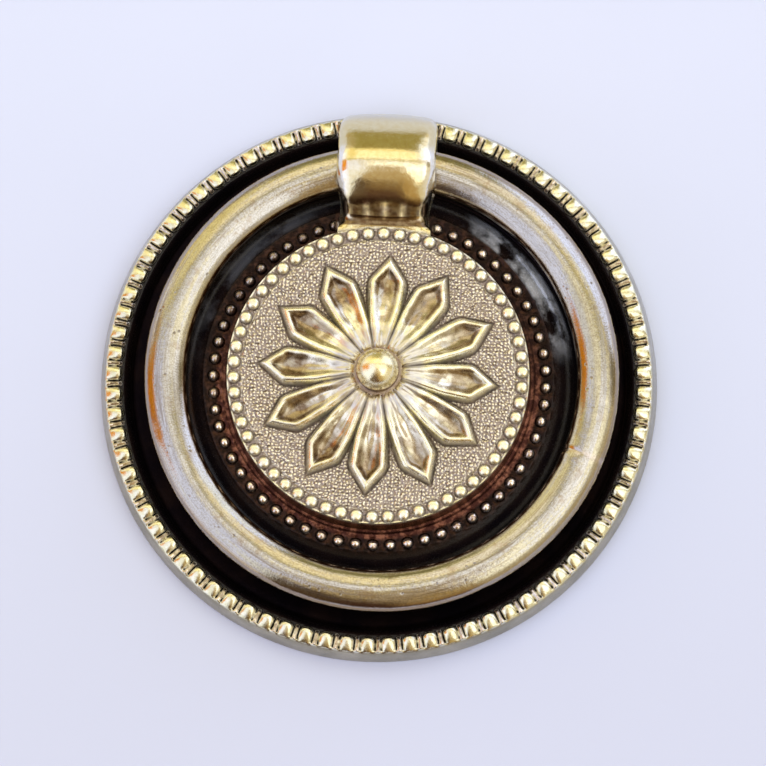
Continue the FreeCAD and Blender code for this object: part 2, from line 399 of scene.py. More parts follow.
def build_disc():
    t = Turned()
    # ball and the recess round it
    t.point(12.04)
    for k in range(1, 23):
        w = math.radians(k * 4.7)
        t.loop(2.25 * math.sin(w), 9.79 + 2.25 * math.cos(w), 168)
    for r, d in [(2.185, 9.16), (2.19, 9.02), (2.25, 8.93), (2.36, 8.885), (2.50, 8.88), (2.60, 8.885)]:
        t.loop(r, d, 240)
    # petals and stippled ground
    for r in np.arange(2.66, 5.40, 0.110):
        t.loop(r, 7.0, 360, rosette_shape)
    for r in np.arange(5.40, 8.60, 0.108):
        t.loop(r, 7.0, 504, rosette_shape)
    for r in np.arange(8.60, 11.40, 0.112):
        t.loop(r, 7.0, 648, rosette_shape)
    for r in np.arange(11.40, 14.62, 0.114):
        t.loop(r, 7.0, 812, rosette_shape)
    for r in np.linspace(14.70, 16.18, 17):
        t.loop(r, 7.0, EDGE_BEADS * 14, edge_shape)
    # side wall, seat, spigot with its peened collar, tapped hole
    for r, d in [(16.21, 6.93), (16.23, 6.78), (16.23, 6.5), (16.24, 6.1), (16.25, 5.7), (16.28, 5.3),
                 (16.32, 4.95), (16.38, 4.65), (16.44, 4.43)]:
        t.loop(r, d, 232)
    for r, d in [(14.0, 4.43), (9.0, 4.43), (4.0, 4.43), (4.0, 3.41), (4.6, 3.41), (5.02, 3.40), (5.12, 3.30),
                 (5.14, 3.15), (5.05, 2.92), (4.85, 2.76), (4.55, 2.69), (4.2, 2.66), (4.0, 2.60), (4.0, 1.6),
                 (4.0, 0.25), (3.94, 0.07), (3.78, 0.0), (2.5, 0.0), (2.12, 0.0), (2.02, 0.06)]:
        t.loop(r, d, 120)
    for k in range(8):
        base = 0.30 + 0.7 * k
        t.loop(1.68, base, 56)
        t.loop(1.66, base + 0.09, 56)
        t.loop(1.97, base + 0.31, 56)
        t.loop(1.97, base + 0.40, 56)
    t.loop(1.66, 5.95, 56)
    t.loop(0.9, 6.4, 48)
    t.point(6.92)
    return make_object("casting_disc", t.coords(), t.faces, 55.0)


# -------------------------------------------------------------------- knuckle
half_width = table([(12.0, 5.05), (15.6, 5.02), (16.3, 4.92), (16.8, 4.70), (17.3, 4.56), (18.0, 4.56), (18.7, 4.66),
                    (19.4, 4.84), (20.2, 5.10), (21.2, 5.26), (22.4, 5.30), (30.0, 5.30)], 12.0, 31.0, 0.20)


def curve_through(points, count):
    """Smooth curve (Catmull-Rom) through the given points."""
    p = np.array(points, float)
    p = np.vstack([2 * p[0] - p[1], p, 2 * p[-1] - p[-2]])
    out = []
    n = len(p) - 3
    for i in range(n):
        for t in np.linspace(0, 1, max(3, count // n), endpoint=False):
            a, b, c, d = p[i], p[i + 1], p[i + 2], p[i + 3]
            out.append(0.5 * (2 * b + (c - a) * t + (2 * a - 5 * b + 4 * c - d) * t ** 2
                              + (3 * b - a - 3 * c + d) * t ** 3))
    out.append(p[-2])
    return np.array(out)


def build_knuckle():
    """Side profile swept across, edges rounded, then waisted and crowned."""
    front = curve_through([(16.00, 6.86), (16.45, 6.95), (16.95, 7.00), (17.25, 7.14), (17.50, 7.42), (17.85, 7.92),
                           (18.25, 8.46), (18.75, 9.00), (19.25, 9.43), (19.75, 9.79), (20.25, 10.08), (20.75, 10.31),
                           (21.25, 10.48), (21.65, 10.575), (22.10, 10.645), (22.55, 10.665), (22.95, 10.645),
                           (23.40, 10.575), (23.90, 10.44), (24.40, 10.23), (25.00, 9.90), (25.50, 9.58), (26.20, 9.08),
                           (26.90, 8.47), (27.54, 7.80), (28.18, 6.90), (28.75, 5.87), (29.20, 4.75), (29.46, 3.70), (29.58, 3.15)], 190)
    foot = [(29.56, 2.75), (29.46, 2.35), (28.4, 2.27), (27.70, 2.24), (27.30, 2.00), (27.05, 1.60), (26.7, 1.20),
            (26.2, 1.02), (24.5, 1.01), (22.9, 1.01), (21.8, 1.02), (21.53, 1.25), (21.30, 1.95), (20.86, 2.72),
            (20.25, 3.42), (19.45, 4.02), (18.6, 4.36), (17.6, 4.43), (16.4, 4.43), (15.2, 4.43), (14.6, 4.43),
            (14.6, 5.5), (14.6, 6.60), (15.3, 6.80)]
    outline = np.vstack([front, foot])
    n = len(outline)
    cent = outline.mean(0)
    # outward normals of the outline
    tang = np.roll(outline, -1, 0) - np.roll(outline, 1, 0)
    tang /= np.linalg.norm(tang, axis=1)[:, None]
    nrm = np.stack([tang[:, 1], -tang[:, 0]], 1)
    if ((outline - cent) * nrm).sum() < 0:
        nrm = -nrm
    is_front = np.zeros(n)
    is_front[: len(front)] = 1.0
    ramp = np.minimum(1.0, np.minimum(np.arange(n) / 10.0, np.clip((len(front) + 2 - np.arange(n)) / 10.0, 0, 1)))
    soft = is_front * np.clip(ramp, 0, 1)
    across = []
    for k in range(9):                      # rounded edge on the left
        w = math.radians(90.0 * k / 8.0)
        across.append((-1.0, w))
    for k in range(1, 24):
        across.append((-1.0 + 2.0 * k / 24.0, None))
    for k in range(9):
        w = math.radians(90.0 * (8 - k) / 8.0)
        across.append((1.0, w))
    R = 1.05
    co, rows = [], []
    for side, w in across:
        if w is None:
            inset = 0.0
            x = side * (KNUCKLE_HALF - R)
        else:
            inset = R * (1.0 - math.sin(w))
            x = side * (KNUCKLE_HALF - R + R * math.cos(w))
        # crown: the face falls slightly towards its sides
        frac = abs(x) / KNUCKLE_HALF
        fall = 1.0 * frac ** 3.3 * (0.35 + 0.65 * step(outline[:, 0], 18.0, 20.0)) \
            * (1.0 - 0.60 * step(outline[:, 0], 25.0, 28.2))
        p = outline - nrm * ((inset + fall) * soft)[:, None]
        z = p[:, 0]
        z = z - (inset + 0.30 * frac ** 3.3) * (1.0 - soft) * step(z, 27.6, 29.2)
        scale = read(half_width, z) / KNUCKLE_HALF
        xx = x * scale
        z = z - 0.18 * (np.abs(xx) / KNUCKLE_HALF) ** 2.2 * step(z, 25.5, 29.2)
        rows.append(len(co) * n)
        co.append(np.stack([xx, -p[:, 1], z], 1))
    faces = []
    for i in range(len(rows) - 1):
        for j in range(n):
            k = (j + 1) % n
            faces.append((rows[i] + j, rows[i] + k, rows[i + 1] + k, rows[i + 1] + j))
    faces.append(tuple(rows[0] + j for j in range(n)))
    faces.append(tuple(rows[-1] + j for j in reversed(range(n))))
    return make_object("knuckle_body", np.concatenate(co), faces, 50.0)


def boolean(obj, other, how):
    mod = obj.modifiers.new("join", "BOOLEAN")
    mod.operation = how
    mod.solver = "EXACT"
    mod.object = other
    dg = bpy.context.evaluated_depsgraph_get()
    made = bpy.data.meshes.new_from_object(obj.evaluated_get(dg))
    obj.modifiers.clear()
    old = obj.data
    obj.data = made
    bpy.data.meshes.remove(old)
    om = other.data
    bpy.data.objects.remove(other)
    bpy.data.meshes.remove(om)


def build_casting():
    knuckle = build_knuckle()
    # eye for the ring, with softened mouths
    t_co, t_faces = [], []
    xs = [-8.0, -5.6, -5.25, -5.0, -4.7, -4.2, 4.2, 4.7, 5.0, 5.25, 5.6, 8.0]
    rs = [3.95, 3.37, 3.2, 3.09, 3.01, 2.95, 2.95, 3.01, 3.09, 3.2, 3.37, 3.95]
    m = 72
    for x, r in zip(xs, rs):
        for k in range(m):
            w = TAU * k / m
            t_co.append((x, -(5.5 + r * math.cos(w)), 22.65 + r * math.sin(w)))
    for i in range(len(xs) - 1):
        for k in range(m):
            j = (k + 1) % m
            t_faces.append((i * m + k, i * m + j, (i + 1) * m + j, (i + 1) * m + k))
    t_faces.append(tuple(range(m)))
    t_faces.append(tuple((len(xs) - 1) * m + k for k in reversed(range(m))))
    eye = make_object("eye_cut", np.array(t_co), t_faces)
    boolean(knuckle, eye, "DIFFERENCE")
    # locating lug in the plate's small hole
    lug = Turned()
    lug.point(0.12)
    for r, d in [(0.9, 0.12), (1.0, 0.20), (1.0, 1.3), (0.9, 1.6)]:
        lug.loop(r, d, 40)
    lug.point(1.6)
    co = lug.coords() + np.array([0.0, 0.0, 25.6])
    lug_obj = make_object("lug", co, lug.faces)
    boolean(knuckle, lug_obj, "UNION")
    disc = build_disc()
    boolean(disc, knuckle, "UNION")
    disc.name = "rosette_and_knuckle"
    disc.data.name = "rosette_and_knuckle"
    bm = bmesh.new()
    bm.from_mesh(disc.data)
    bmesh.ops.remove_doubles(bm, verts=bm.verts, dist=2e-6)
    bmesh.ops.dissolve_degenerate(bm, edges=bm.edges, dist=1e-7)
    bm.to_mesh(disc.data)
    bm.free()
    disc.data.validate()
    tidy(disc, 48.0)
    return disc


# ----------------------------------------------------------------------- ring
RING_R, ROD_R, RING_DEPTH, RING_X = 23.19, 2.30, 5.5, 0.38


def build_ring():
    n_big, n_small = 900, 56
    th = np.arange(n_big) * TAU / n_big
    ph = np.arange(n_small) * TAU / n_small
    T, P = np.meshgrid(th, ph, indexing="ij")
    # P = 0 at the outer edge, 90 degrees at the front
    rad = np.full_like(T, ROD_R - 0.015)
    for k, (m, w, amp) in enumerate([(7, 2, 0.012), (13, 3, 0.010), (23, 2, 0.008), (41, 4, 0.006)]):
        rad += amp * np.sin(m * T + 1.7 * k) * np.cos(w * P + 0.9 * k)
    # seam where the rod's ends meet, about four o'clock, with a nick on its inner side
    seam = math.radians(109.5)
    off = (T - seam) * RING_R
    inner = np.clip(-np.cos(P - math.radians(-18.0)), 0, 1)
    rad -= 0.022 * np.exp(-(off / 0.12) ** 2)
    rad -= 0.10 * np.exp(-(off / 0.30) ** 2) * np.clip(np.cos(P - math.radians(150.0)), 0, 1) ** 3
    rad += 0.05 * np.exp(-((off - 0.8) / 0.5) ** 2) * inner
    # knocks
    for k in range(46):
        t0 = TAU * hashed(np.float64(k), 1.0, 21.0)
        p0 = math.radians(-30 + 240 * hashed(np.float64(k), 2.0, 22.0))
        size = 0.18 + 0.5 * hashed(np.float64(k), 3.0, 23.0)
        dt = (T - t0 + math.pi) % TAU - math.pi
        dp = (P - p0 + math.pi) % TAU - math.pi
        rad -= 0.035 * np.exp(-((dt * RING_R / (size * 1.6)) ** 2 + (dp * ROD_R / size) ** 2))
    big = RING_R + rad * np.cos(P)
    dep = RING_DEPTH + rad * 0.68 * np.sin(P)
    co = np.stack([big * np.sin(T) + RING_X, -dep, big * np.cos(T) + 0.02], -1).reshape(-1, 3)
    faces = []
    for i in range(n_big):
        a, b = i * n_small, ((i + 1) % n_big) * n_small
        for j in range(n_small):
            k = (j + 1) % n_small
            faces.append((a + j, a + k, b + k, b + j))
    obj = make_object("hanging_ring", co, faces, 60.0)
    put(obj, "along", np.stack([RING_R * np.sin(T), RING_R * np.cos(T), ROD_R * np.cos(P)], -1).reshape(-1, 3),
        "FLOAT_VECTOR")
    put(obj, "round", (ROD_R * np.sin(P)).ravel())
    put(obj, "facing", np.sin(P).ravel())
    put(obj, "pale", (step(-np.sin(T), 0.72, 0.95) * step(0.35 - np.cos(T), 0.0, 0.5)).ravel())
    put(obj, "seam", np.exp(-(off / 0.30) ** 2).ravel())
    put(obj, "edge", (step(np.cos(P), 0.62, 0.95) + step(-np.cos(P), 0.70, 0.97)).ravel())
    return obj


# ------------------------------------------------------------- material tools
class Nodes:
    def __init__(self, tree):
        self.t = tree
        tree.nodes.clear()

    def new(self, kind, **props):
        n = self.t.nodes.new(kind)
        for k, v in props.items():
            setattr(n, k, v)
        return n

    def plug(self, sock, value):
        if hasattr(value, "is_linked"):
            self.t.links.new(value, sock)
        elif value is not None:
            sock.default_value = value

    def math(self, op, a, b=None, c=None, clamp=False):
        n = self.new("ShaderNodeMath", operation=op, use_clamp=clamp)
        self.plug(n.inputs[0], a)
        if b is not None:
            self.plug(n.inputs[1], b)
        if c is not None:
            self.plug(n.inputs[2], c)
        return n.outputs[0]

    def span(self, v, a, b, lo=0.0, hi=1.0, smooth=True):
        n = self.new("ShaderNodeMapRange", interpolation_type="SMOOTHSTEP" if smooth else "LINEAR")
        self.plug(n.inputs["Value"], v)
        for key, val in (("From Min", a), ("From Max", b), ("To Min", lo), ("To Max", hi)):
            self.plug(n.inputs[key], val)
        return n.outputs["Result"]

    def band(self, v, a, b, soft):
        up = self.span(v, a - soft, a + soft)
        down = self.span(v, b - soft, b + soft, 1.0, 0.0)
        return self.math("MULTIPLY", up, down)

    def mix(self, f, a, b):
        n = self.new("ShaderNodeMix", data_type="RGBA", clamp_factor=True)
        self.plug(n.inputs[0], f)
        self.plug(n.inputs[6], (*a, 1.0) if isinstance(a, tuple) else a)
        self.plug(n.inputs[7], (*b, 1.0) if isinstance(b, tuple) else b)
        return n.outputs[2]

    def attr(self, name, vector=False):
        n = self.new("ShaderNodeAttribute", attribute_name=name)
        return n.outputs["Vector" if vector else "Fac"]

    def place(self):
        return self.new("ShaderNodeTexCoord").outputs["Object"]

    def noise(self, scale, detail=3.0, rough=0.55, vec=None, w=None, distortion=0.0):
        n = self.new("ShaderNodeTexNoise", noise_dimensions="3D" if w is None else "4D")
        self.plug(n.inputs["Vector"], vec if vec is not None else self.place())
        if w is not None:
            self.plug(n.inputs["W"], w)
        n.inputs["Scale"].default_value = scale
        n.inputs["Detail"].default_value = detail
        n.inputs["Roughness"].default_value = rough
        n.inputs["Distortion"].default_value = distortion
        return n.outputs["Fac"]

    def cells(self, scale, vec=None, feature="F1"):
        n = self.new("ShaderNodeTexVoronoi", feature=feature)
        self.plug(n.inputs["Vector"], vec if vec is not None else self.place())
        n.inputs["Scale"].default_value = scale
        return n.outputs["Distance"]

    def bump(self, height, strength, distance, normal=None):
        n = self.new("ShaderNodeBump")
        n.inputs["Strength"].default_value = strength
        n.inputs["Distance"].default_value = distance
        self.plug(n.inputs["Height"], height)
        if normal is not None:
            self.plug(n.inputs["Normal"], normal)
        return n.outputs["Normal"]

    def stretch(self, vec, x, y, z):
        n = self.new("ShaderNodeMapping")
        self.plug(n.inputs["Vector"], vec)
        n.inputs["Scale"].default_value = (x, y, z)
        return n.outputs["Vector"]


def surface(name, color, metallic, rough, normal=None, coat=0.0, coat_rough=0.1, spec=0.5):
    """Finishes a material from its colour, metalness and roughness sockets."""
    def build(nodes_fn):
        mat = bpy.data.materials.new(name)
        mat.use_nodes = True
        n = Nodes(mat.node_tree)
        c, m, r, nm = nodes_fn(n)
        p = n.new("ShaderNodeBsdfPrincipled")
        n.plug(p.inputs["Base Color"], (*c, 1.0) if isinstance(c, tuple) else c)
        n.plug(p.inputs["Metallic"], m)
        n.plug(p.inputs["Roughness"], r)
        if nm is not None:
            n.plug(p.inputs["Normal"], nm)
        p.inputs["Coat Weight"].default_value = coat
        p.inputs["Coat Roughness"].default_value = coat_rough
        p.inputs["Specular IOR Level"].default_value = spec
        out = n.new("ShaderNodeOutputMaterial")
        n.t.links.new(p.outputs[0], out.inputs[0])
        return mat
    return build


GOLD = (0.76, 0.66, 0.40)
PALE_GOLD = (0.82, 0.76, 0.58)
OLD_SILVER = (0.68, 0.65, 0.63)
BROWN = (0.080, 0.048, 0.032)


def plate_nodes(n):
    gold = n.attr("gold")         # 1 on lobes and outer lip
    dart = n.attr("dart")
    patina_and_shade = n.attr("patina_and_shade")
    land = n.attr("land")         # brown land round the disc
    black = n.attr("black")       # floor of the channel
    low = n.attr("low")
    back = n.attr("backside")
    bead = n.attr("bead")
    wall = n.attr("outer")
    big = n.noise(260.0, 4.0, 0.6)
    fine = n.noise(1500.0, 4.0, 0.6)
    tiny = n.noise(5200.0, 3.0, 0.6)
    metal = n.mix(n.span(fine, 0.35, 0.68), (0.76, 0.73, 0.50), (0.88, 0.87, 0.74))
    metal = n.mix(n.math("MULTIPLY", n.span(big, 0.52, 0.70), 0.35), metal, OLD_SILVER)
    # painted reflection: the darts get a lilac-grey to pale pink colour of their own
    dart_c = n.mix(n.span(fine, 0.40, 0.62), (0.44, 0.36, 0.34), (0.82, 0.74, 0.70))
    metal = n.mix(n.math("MULTIPLY", dart, 0.85), metal, dart_c)
    wall_c = n.mix(n.span(big, 0.35, 0.7), (0.44, 0.42, 0.38), (0.58, 0.56, 0.52))
    # painted reflection: the lower part of the outer wall gets a darker, yellower colour
    wall_c = n.mix(n.attr("under"), wall_c, n.mix(n.span(big, 0.35, 0.7), (0.36, 0.33, 0.25), (0.50, 0.46, 0.36)))
    metal = n.mix(wall, metal, wall_c)
    lacquer = n.mix(n.span(big, 0.3, 0.75), (0.004, 0.003, 0.005), (0.012, 0.007, 0.007))
    red = n.mix(n.span(fine, 0.42, 0.68), (0.014, 0.008, 0.007), (0.045, 0.022, 0.016))
    red2 = n.mix(n.span(fine, 0.42, 0.66), (0.055, 0.018, 0.014), (0.22, 0.092, 0.062))
    red = n.mix(low, red, red2)
    lacquer = n.mix(n.math("MULTIPLY", land, n.span(fine, 0.2, 0.6, 0.75, 1.0)), lacquer, red)
    # painted reflection of a window on the black slope
    painted_window_gloss = n.attr("painted_window_gloss")
    lacquer = n.mix(n.math("MULTIPLY", painted_window_gloss, n.span(n.noise(300.0, 4.0, 0.6), 0.38, 0.60)), lacquer, (0.56, 0.59, 0.67))
    bead_c = n.mix(n.span(fine, 0.35, 0.62), (0.46, 0.35, 0.31), (0.95, 0.88, 0.84))
    lacquer = n.mix(bead, lacquer, bead_c)
    worn = n.math("ADD", gold, n.span(fine, 0.3, 0.75, -0.18, 0.18))
    worn = n.span(worn, 0.30, 0.55)
    # the grooves keep the dark lacquer: patina and painted shade
    keep = n.math("SUBTRACT", 1.0, n.math("MULTIPLY", patina_and_shade, n.span(fine, 0.3, 0.7, 0.75, 1.0)), clamp=True)
    worn = n.math("MULTIPLY", worn, keep)
    c = n.mix(worn, lacquer, metal)
    raw = n.mix(n.span(fine, 0.3, 0.7), (0.33, 0.27, 0.16), (0.50, 0.42, 0.26))
    raw = n.mix(n.span(big, 0.5, 0.75), raw, (0.20, 0.14, 0.09))
    c = n.mix(back, c, raw)
    lift = n.math("MAXIMUM", worn, back)
    lift = n.math("MAXIMUM", lift, bead)
    lift = n.math("MAXIMUM", lift, n.math("MULTIPLY", painted_window_gloss, 0.40))
    shine = n.math("MAXIMUM", lift, black)
    shine = n.math("MAXIMUM", shine, n.math("MULTIPLY", land, 0.90))
    rough = n.math("ADD", 0.21, n.span(tiny, 0.3, 0.7, -0.05, 0.08))
    rough = n.math("ADD", rough, n.math("MULTIPLY", wall, 0.10))
    rough = n.math("ADD", rough, n.math("MULTIPLY", black, 0.12))
    rough = n.math("SUBTRACT", rough, n.math("MULTIPLY", bead, 0.06))
    rough = n.math("ADD", rough, n.math("MULTIPLY", back, 0.20), clamp=True)
    nm = n.bump(tiny, 0.22, 0.00004)
    nm = n.bump(fine, 0.20, 0.00010, nm)
    return c, shine, rough, nm


def casting_nodes(n):
    proud = n.attr("proud")
    patina_and_shade = n.attr("patina_and_shade")
    ground = n.attr("ground")
    cup = n.attr("cup")
    worn_c = n.attr("centre")
    clean = n.attr("clean")
    side = n.attr("side")
    back = n.attr("backside")
    big = n.noise(300.0, 4.0, 0.6)
    mid = n.noise(700.0, 3.0, 0.55)
    fine = n.noise(1700.0, 4.0, 0.62)
    tiny = n.noise(6000.0, 3.0, 0.6)
    grain = n.cells(3300.0)
    gold = n.mix(n.span(fine, 0.35, 0.68), (0.92, 0.88, 0.64), (0.98, 0.97, 0.88))
    gold = n.mix(n.math("MULTIPLY", n.span(big, 0.48, 0.68), 0.30), gold, OLD_SILVER)
    gold = n.mix(n.math("MULTIPLY", worn_c, n.span(fine, 0.3, 0.6, 0.5, 0.9)), gold, (0.66, 0.64, 0.63))
    cup_c = n.mix(n.span(mid, 0.44, 0.60), (0.30, 0.22, 0.14), (0.90, 0.87, 0.78))
    c = n.mix(n.math("MULTIPLY", cup, n.span(big, 0.3, 0.6, 0.35, 0.85)), gold, cup_c)
    # painted shade in the petals' hollows
    hollow_shade = n.math("MULTIPLY", n.attr("hollow_shade"), n.span(mid, 0.39, 0.53))
    c = n.mix(n.math("MULTIPLY", hollow_shade, 0.95), c, n.mix(n.span(fine, 0.4, 0.6), (0.17, 0.105, 0.055), (0.36, 0.27, 0.17)))
    speck = n.span(grain, 0.08, 0.40, 1.0, 0.0)
    g_c = n.mix(n.math("MULTIPLY", speck, n.span(fine, 0.35, 0.6, 0.1, 0.8)), (0.31, 0.262, 0.245), (0.80, 0.75, 0.70))
    g_c = n.mix(n.span(proud, 0.30, 0.80), g_c, (0.98, 0.93, 0.79))
    g_c = n.mix(n.math("MULTIPLY", n.span(mid, 0.45, 0.70), 0.35), g_c, (0.44, 0.38, 0.36))
    c = n.mix(ground, c, g_c)
    # patina and painted shade darken the colour and dull the metal here
    d = n.math("MULTIPLY", patina_and_shade, n.span(fine, 0.25, 0.6, 0.7, 1.0))
    c = n.mix(n.math("MULTIPLY", d, 0.9), c, n.mix(n.span(mid, 0.4, 0.6), BROWN, (0.17, 0.112, 0.080)))
    c = n.mix(clean, c, n.mix(n.span(fine, 0.3, 0.7), (0.74, 0.63, 0.36), (0.79, 0.71, 0.47)))
    c = n.mix(n.attr("ball"), c, n.mix(n.span(mid, 0.4, 0.6), (0.90, 0.80, 0.48), (0.96, 0.90, 0.66)))
    # painted shadow round the ball's foot
    c = n.mix(n.math("MULTIPLY", n.attr("ball_foot_shade"), n.span(fine, 0.3, 0.6, 0.70, 0.95)), c, (0.25, 0.175, 0.14))
    c = n.mix(n.math("MULTIPLY", n.attr("crest"), n.span(fine, 0.3, 0.7, 0.35, 0.60)), c, (0.46, 0.45, 0.45))
    # painted highlights on the knuckle
    c = n.mix(n.math("MULTIPLY", n.attr("knuckle_highlight"), n.span(fine, 0.3, 0.6, 0.6, 1.0)), c, (0.93, 0.91, 0.86))
    # painted reflections on the knuckle's neck: dark, with pale dashes in line with the edge beads
    c = n.mix(n.math("MULTIPLY", n.attr("neck_reflection"), n.span(fine, 0.3, 0.7, 0.97, 0.80)), c, (0.11, 0.055, 0.026))
    c = n.mix(n.math("MULTIPLY", n.attr("bead_reflection_dashes"), n.span(fine, 0.3, 0.6, 0.6, 1.0)), c, (1.0, 0.92, 0.74))
    side_c = n.mix(n.span(fine, 0.3, 0.7), (0.035, 0.015, 0.009), (0.16, 0.07, 0.035))
    c = n.mix(side, c, side_c)
    raw = n.mix(n.span(fine, 0.3, 0.7), (0.36, 0.29, 0.16), (0.52, 0.44, 0.27))
    c = n.mix(back, c, raw)
    metal = n.math("SUBTRACT", 1.0, n.math("MULTIPLY", d, 0.45), clamp=True)
    metal = n.math("SUBTRACT", metal, n.math("MULTIPLY", side, 0.4), clamp=True)
    rough = n.math("ADD", 0.26, n.math("MULTIPLY", ground, 0.12))
    rough = n.math("ADD", rough, n.math("MULTIPLY", n.attr("ball"), 0.10))
    rough = n.math("ADD", rough, n.math("MULTIPLY", d, 0.25))
    rough = n.math("ADD", rough, n.math("MULTIPLY", worn_c, 0.10))
    rough = n.math("ADD", rough, n.math("MULTIPLY", back, 0.18))
    rough = n.math("SUBTRACT", rough, n.math("MULTIPLY", clean, 0.13))
    rough = n.math("ADD", rough, n.span(tiny, 0.3, 0.7, -0.04, 0.07), clamp=True)
    hgt = n.math("MULTIPLY", n.math("SUBTRACT", 1.0, grain), ground)
    nm = n.bump(hgt, 0.40, 0.00008)
    nm = n.bump(tiny, 0.20, 0.00004, nm)
    nm = n.bump(fine, 0.18, 0.00010, nm)
    return c, metal, rough, nm


def ring_nodes(n):
    along = n.attr("along", True)
    rnd = n.attr("round")
    seam = n.attr("seam")
    edge = n.attr("edge")
    streak = n.noise(1.0, 4.0, 0.62, n.stretch(along, 0.045, 0.045, 1.5), n.math("MULTIPLY", rnd, 1.5))
    patch = n.noise(1.0, 3.0, 0.55, n.stretch(along, 0.06, 0.06, 0.45), n.math("MULTIPLY", rnd, 0.45))
    hair = n.noise(1.0, 3.0, 0.6, n.stretch(along, 0.5, 0.5, 11.0), n.math("MULTIPLY", rnd, 11.0))
    fine = n.noise(1900.0, 4.0, 0.62)
    tiny = n.noise(6200.0, 3.0, 0.6)
    pits = n.cells(1150.0)
    pit = n.math("MULTIPLY", n.span(pits, 0.10, 0.24, 1.0, 0.0), n.span(n.noise(420.0, 2.0), 0.56, 0.66))
    amount = n.math("ADD", n.math("MULTIPLY", streak, 0.55), n.math("MULTIPLY", patch, 0.45))
    amount = n.math("ADD", amount, n.span(fine, 0.3, 0.7, -0.03, 0.03))
    gold_f = n.math("MULTIPLY", n.span(amount, 0.490, 0.580), n.span(n.attr("pale"), 0.0, 1.0, 0.8, 0.22))
    silver = n.mix(n.span(hair, 0.35, 0.65), (0.435, 0.424, 0.426), (0.570, 0.556, 0.560))
    gold = n.mix(n.span(fine, 0.35, 0.65), (0.475, 0.43, 0.28), (0.575, 0.53, 0.385))
    c = n.mix(gold_f, silver, gold)
    c = n.mix(n.math("MULTIPLY", edge, n.span(streak, 0.42, 0.60, 0.45, 0.90)), c, (0.34, 0.22, 0.11))
    dark = n.noise(1.0, 4.0, 0.65, n.stretch(along, 0.10, 0.10, 2.6), n.math("MULTIPLY", rnd, 2.6))
    c = n.mix(n.math("MULTIPLY", n.span(dark, 0.56, 0.68), 0.55), c, (0.20, 0.135, 0.075))
    stain = n.math("MULTIPLY", n.span(n.noise(520.0, 4.0, 0.65), 0.58, 0.70), 0.40)
    c = n.mix(stain, c, (0.32, 0.22, 0.13))
    c = n.mix(n.math("MULTIPLY", pit, 0.70), c, (0.10, 0.065, 0.04))
    c = n.mix(n.math("MULTIPLY", n.span(tiny, 0.49, 0.59), 0.42), c, (0.30, 0.25, 0.18))
    c = n.mix(n.math("MULTIPLY", seam, 0.45), c, (0.66, 0.56, 0.54))
    rough = n.math("ADD", 0.085, n.span(hair, 0.35, 0.65, -0.03, 0.05))
    rough = n.math("ADD", rough, n.span(tiny, 0.3, 0.7, -0.03, 0.06))
    rough = n.math("ADD", rough, n.math("MULTIPLY", pit, 0.2), clamp=True)
    nm = n.bump(pit, 0.5, -0.00006)
    nm = n.bump(hair, 0.11, 0.00006, nm)
    nm = n.bump(tiny, 0.26, 0.00004, nm)
    nm = n.bump(fine, 0.12, 0.00010, nm)
    metal = n.math("SUBTRACT", 1.0, n.math("MULTIPLY", pit, 0.4))
    return c, metal, rough, nm


# ---------------------------------------------------------------------- build
plate = build_plate()
# locating hole under the knuckle, from the back
drill = Turned()
drill.point(-1.0)
for r_, d_ in [(1.05, -1.0), (1.05, 1.3)]:
    drill.loop(r_, d_, 48)
drill.point(1.3)
drill_obj = make_object("drill", drill.coords() + np.array([0.0, 0.0, 25.6]), drill.faces)
boolean(plate, drill_obj, "DIFFERENCE")
plate.data.validate()
tidy(plate, 60.0)
co, no, _ = vertex_arrays(plate)
r = np.hypot(co[:, 0], co[:, 2])
a = np.arctan2(co[:, 0], co[:, 2]) % TAU
dep = -co[:, 1]
facing = -no[:, 1]
lobe, dart = rim_relief(r, a)
keep = 1.0 - near_knuckle(r, a, -0.30)
rel = relief(plate, (4, 14))
on_front = step(facing, -0.25, -0.05)
lobe_f = np.clip(lobe / 0.16, 0, 1)
dart_f = np.clip(dart / 0.12, 0, 1)
lip = step(r, 29.30, 29.44)
outer = step(r, 29.36, 29.48)
gold = np.maximum(lobe_f, dart_f * 0.95) * step(r, 27.0, 27.35)
gold = np.maximum(gold, lip) * np.where(r > 26.9, 1, 0)
groove = np.clip(1.0 - np.maximum(lobe / 0.16, dart / 0.10), 0, 1) * step(r, 27.3, 27.6) * (1 - step(r, 29.22, 29.38))
put(plate, "gold", gold * np.maximum(keep, 0.6))
put(plate, "dart", np.clip((dart - lobe) / 0.1, 0, 1) * step(r, 27.0, 27.3) * (1 - step(r, 29.15, 29.42)))
# dark lacquer kept in the grooves between lobes and darts, partly painted shade
put(plate, "patina_and_shade", np.clip(groove * (0.92 - 0.50 * step(r, 27.9, 28.8)), 0, 1))
put(plate, "land", step(r, 16.0, 16.3) * (1.0 - step(r, 18.5, 19.4)) * on_front)
put(plate, "black", step(r, 20.9, 21.6) * (1.0 - step(r, 26.6, 27.1)) * on_front)
put(plate, "low", step(-co[:, 2], -9.0, 6.0) * (1.0 - step(r, 17.2, 17.6)))
_, bs, bt = land_place(co[:, 0], co[:, 2])
# pale metal bead tops, fewer towards the upper left as painted shade on that side
put(plate, "bead", (1.0 - step(np.hypot(bs, bt), 0.30, 0.60)) * on_front * step(r, 16.7, 16.9)
    * (1.0 - 0.55 * step(np.cos(a - math.radians(318.0)), 0.45, 0.95)))
put(plate, "outer", outer)
# lower part of the outer wall, where a darker, yellower painted reflection goes
put(plate, "under", step(-co[:, 2], -6.0, 14.0))
